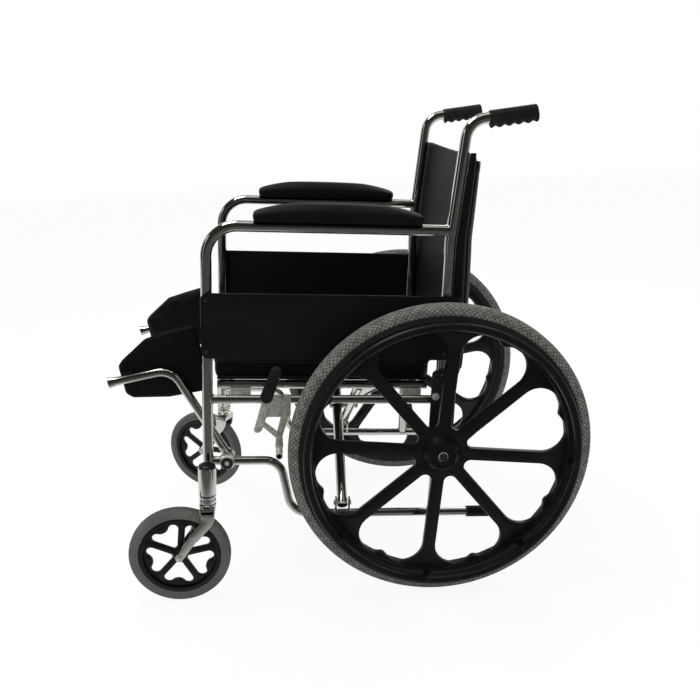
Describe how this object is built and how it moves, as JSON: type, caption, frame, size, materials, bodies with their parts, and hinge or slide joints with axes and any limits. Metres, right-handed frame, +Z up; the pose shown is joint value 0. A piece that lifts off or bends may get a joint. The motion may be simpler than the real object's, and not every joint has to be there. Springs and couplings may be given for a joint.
{
  "type": "folding wheelchair",
  "caption": "Folding wheelchair: chromed tube frame, padded black seat and back, moulded spoked wheels with push rims, swivelling casters, raised leg supports and calf pads.",
  "frame": {"origin": "on the floor, at the middle of the bounding box", "axes": "+Z up, the chair faces -X, its left side is -Y and its right side +Y; the frame leans back 4.6 degrees on its wheels"},
  "size_m": [0.9553, 0.693, 0.961],
  "materials": {
    "chrome_steel": "polished chrome plating",
    "zinc_steel": "bright zinc plating",
    "black_steel": "satin black paint",
    "black_plastic": "satin moulded",
    "black_rubber": "matt",
    "black_vinyl": "grained black vinyl upholstery",
    "grey_rubber": "matt grey"
  },
  "bodies": {
    "right_side": {"front_post_right": "chrome_steel", "back_post_right": "chrome_steel", "upper_rail_right": "chrome_steel", "lower_rail_right": "chrome_steel", "arm_pad_right": "black_vinyl", "push_grip_right": "black_rubber", "side_panel_right": "black_plastic", "rail_tip_right": "black_rubber", "caster_housing_right": "chrome_steel", "axle_plate_right": "black_steel", "rear_axle_right": "zinc_steel", "brake_bracket_right": "zinc_steel", "legrest_clamp_right": "zinc_steel", "seat_saddle_front_right": "zinc_steel", "seat_saddle_rear_right": "zinc_steel", "back_sling": "black_vinyl"},
    "cross_arm_a": {"cross_arm_a": "chrome_steel", "centre_bolt": "zinc_steel", "seat_tube_left": "chrome_steel", "seat_cushion": "black_vinyl"},
    "cross_arm_b": {"cross_arm_b": "chrome_steel", "seat_tube_right": "chrome_steel"},
    "left_side": {"front_post_left": "chrome_steel", "back_post_left": "chrome_steel", "upper_rail_left": "chrome_steel", "lower_rail_left": "chrome_steel", "arm_pad_left": "black_vinyl", "push_grip_left": "black_rubber", "side_panel_left": "black_plastic", "rail_tip_left": "black_rubber", "caster_housing_left": "chrome_steel", "axle_plate_left": "black_steel", "rear_axle_left": "zinc_steel", "brake_bracket_left": "zinc_steel", "legrest_clamp_left": "zinc_steel", "seat_saddle_front_left": "zinc_steel", "seat_saddle_rear_left": "zinc_steel"},
    "rear_wheel_left": {"rear_wheel_left": "black_plastic", "rear_tyre_left": "grey_rubber", "push_rim_left": "black_plastic"},
    "caster_fork_left": {"caster_fork_left": "chrome_steel"},
    "caster_wheel_left": {"caster_wheel_left": "black_plastic", "caster_tyre_left": "grey_rubber"},
    "brake_lever_left": {"brake_lever_left": "black_steel"},
    "brake_link_left": {"brake_link_left": "zinc_steel"},
    "brake_shoe_left": {"brake_shoe_left": "zinc_steel"},
    "legrest_left": {"legrest_tube_left": "chrome_steel"},
    "calf_pad_left": {"calf_pad_left": "black_vinyl"},
    "rear_wheel_right": {"rear_wheel_right": "black_plastic", "rear_tyre_right": "grey_rubber", "push_rim_right": "black_plastic"},
    "caster_fork_right": {"caster_fork_right": "chrome_steel"},
    "caster_wheel_right": {"caster_wheel_right": "black_plastic", "caster_tyre_right": "grey_rubber"},
    "brake_lever_right": {"brake_lever_right": "black_steel"},
    "brake_link_right": {"brake_link_right": "zinc_steel"},
    "brake_shoe_right": {"brake_shoe_right": "zinc_steel"},
    "legrest_right": {"legrest_tube_right": "chrome_steel"},
    "calf_pad_right": {"calf_pad_right": "black_vinyl"}
  },
  "joints": [
    {"name": "fold", "type": "hinge", "parent": "right_side", "child": "cross_arm_a", "pos_m": [0.00494, 0.225, 0.16942], "axis": [-0.9968, 0, 0.0802], "range_deg": [0, 41.1], "deforming": ["seat_cushion", "back_sling"]},
    {"name": "fold_cross", "type": "hinge", "parent": "cross_arm_a", "child": "cross_arm_b", "pos_m": [0.0004, 0, 0.30629], "axis": [-0.9968, 0, 0.0802], "range_deg": [-82.2, 0]},
    {"name": "fold_left", "type": "hinge", "parent": "cross_arm_b", "child": "left_side", "pos_m": [-0.02596, -0.225, 0.1719], "axis": [-0.9968, 0, 0.0802], "range_deg": [0, 41.1]},
    {"name": "rear_wheel_left_spin", "type": "hinge", "parent": "left_side", "child": "rear_wheel_left", "pos_m": [0.1733, -0.3, 0.30435], "axis": [0, 1, 0], "continuous": true},
    {"name": "caster_left_swivel", "type": "hinge", "parent": "left_side", "child": "caster_fork_left", "pos_m": [-0.29951, -0.258, 0.23404], "axis": [0.0802, 0, 0.9968], "continuous": true},
    {"name": "caster_left_spin", "type": "hinge", "parent": "caster_fork_left", "child": "caster_wheel_left", "pos_m": [-0.3682, -0.258, 0.1035], "axis": [0, 1, 0], "continuous": true},
    {"name": "brake_left_lever", "type": "hinge", "parent": "left_side", "child": "brake_lever_left", "pos_m": [-0.18893, -0.2358, 0.35958], "axis": [0, 1, 0], "range_deg": [0, 21.17]},
    {"name": "brake_left_link", "type": "hinge", "parent": "brake_lever_left", "child": "brake_link_left", "pos_m": [-0.17934, -0.2358, 0.37285], "axis": [0, 1, 0], "range_deg": [-25.59, 0]},
    {"name": "brake_left_shoe", "type": "hinge", "parent": "left_side", "child": "brake_shoe_left", "pos_m": [-0.12841, -0.2358, 0.39484], "axis": [0, 1, 0], "range_deg": [-6.77, 0]},
    {"name": "legrest_left_lower", "type": "hinge", "parent": "left_side", "child": "legrest_left", "pos_m": [-0.25633, -0.197, 0.28875], "axis": [0, -1, 0], "range_deg": [0, 70]},
    {"name": "calf_pad_left_turn", "type": "hinge", "parent": "legrest_left", "child": "calf_pad_left", "pos_m": [-0.37212, -0.197, 0.48085], "axis": [-0.9884, 0, -0.1516], "range_deg": [-90, 0]},
    {"name": "rear_wheel_right_spin", "type": "hinge", "parent": "right_side", "child": "rear_wheel_right", "pos_m": [0.1733, 0.3, 0.30435], "axis": [0, 1, 0], "continuous": true},
    {"name": "caster_right_swivel", "type": "hinge", "parent": "right_side", "child": "caster_fork_right", "pos_m": [-0.29951, 0.258, 0.23404], "axis": [0.0802, 0, 0.9968], "continuous": true},
    {"name": "caster_right_spin", "type": "hinge", "parent": "caster_fork_right", "child": "caster_wheel_right", "pos_m": [-0.36273, 0.28251, 0.10364], "axis": [0.4213, 0.9063, -0.0339], "continuous": true},
    {"name": "brake_right_lever", "type": "hinge", "parent": "right_side", "child": "brake_lever_right", "pos_m": [-0.18893, 0.2358, 0.35958], "axis": [0, 1, 0], "range_deg": [0, 21.17]},
    {"name": "brake_right_link", "type": "hinge", "parent": "brake_lever_right", "child": "brake_link_right", "pos_m": [-0.17934, 0.2358, 0.37285], "axis": [0, 1, 0], "range_deg": [-25.59, 0]},
    {"name": "brake_right_shoe", "type": "hinge", "parent": "right_side", "child": "brake_shoe_right", "pos_m": [-0.12841, 0.2358, 0.39484], "axis": [0, 1, 0], "range_deg": [-6.77, 0]},
    {"name": "legrest_right_lower", "type": "hinge", "parent": "right_side", "child": "legrest_right", "pos_m": [-0.25633, 0.197, 0.28875], "axis": [0, -1, 0], "range_deg": [0, 70]},
    {"name": "calf_pad_right_turn", "type": "hinge", "parent": "legrest_right", "child": "calf_pad_right", "pos_m": [-0.37212, 0.197, 0.48085], "axis": [0.9884, 0, 0.1516], "range_deg": [-90, 0]}
  ],
  "couplings": [
    {"joint": "fold_cross", "follows": "fold", "ratio": -2},
    {"joint": "fold_left", "follows": "fold", "ratio": 1},
    {"joint": "brake_left_link", "follows": "brake_left_lever", "ratio": -1.2081},
    {"joint": "brake_left_shoe", "follows": "brake_left_lever", "ratio": -0.31912},
    {"joint": "brake_right_link", "follows": "brake_right_lever", "ratio": -1.2081},
    {"joint": "brake_right_shoe", "follows": "brake_right_lever", "ratio": -0.31912}
  ]
}
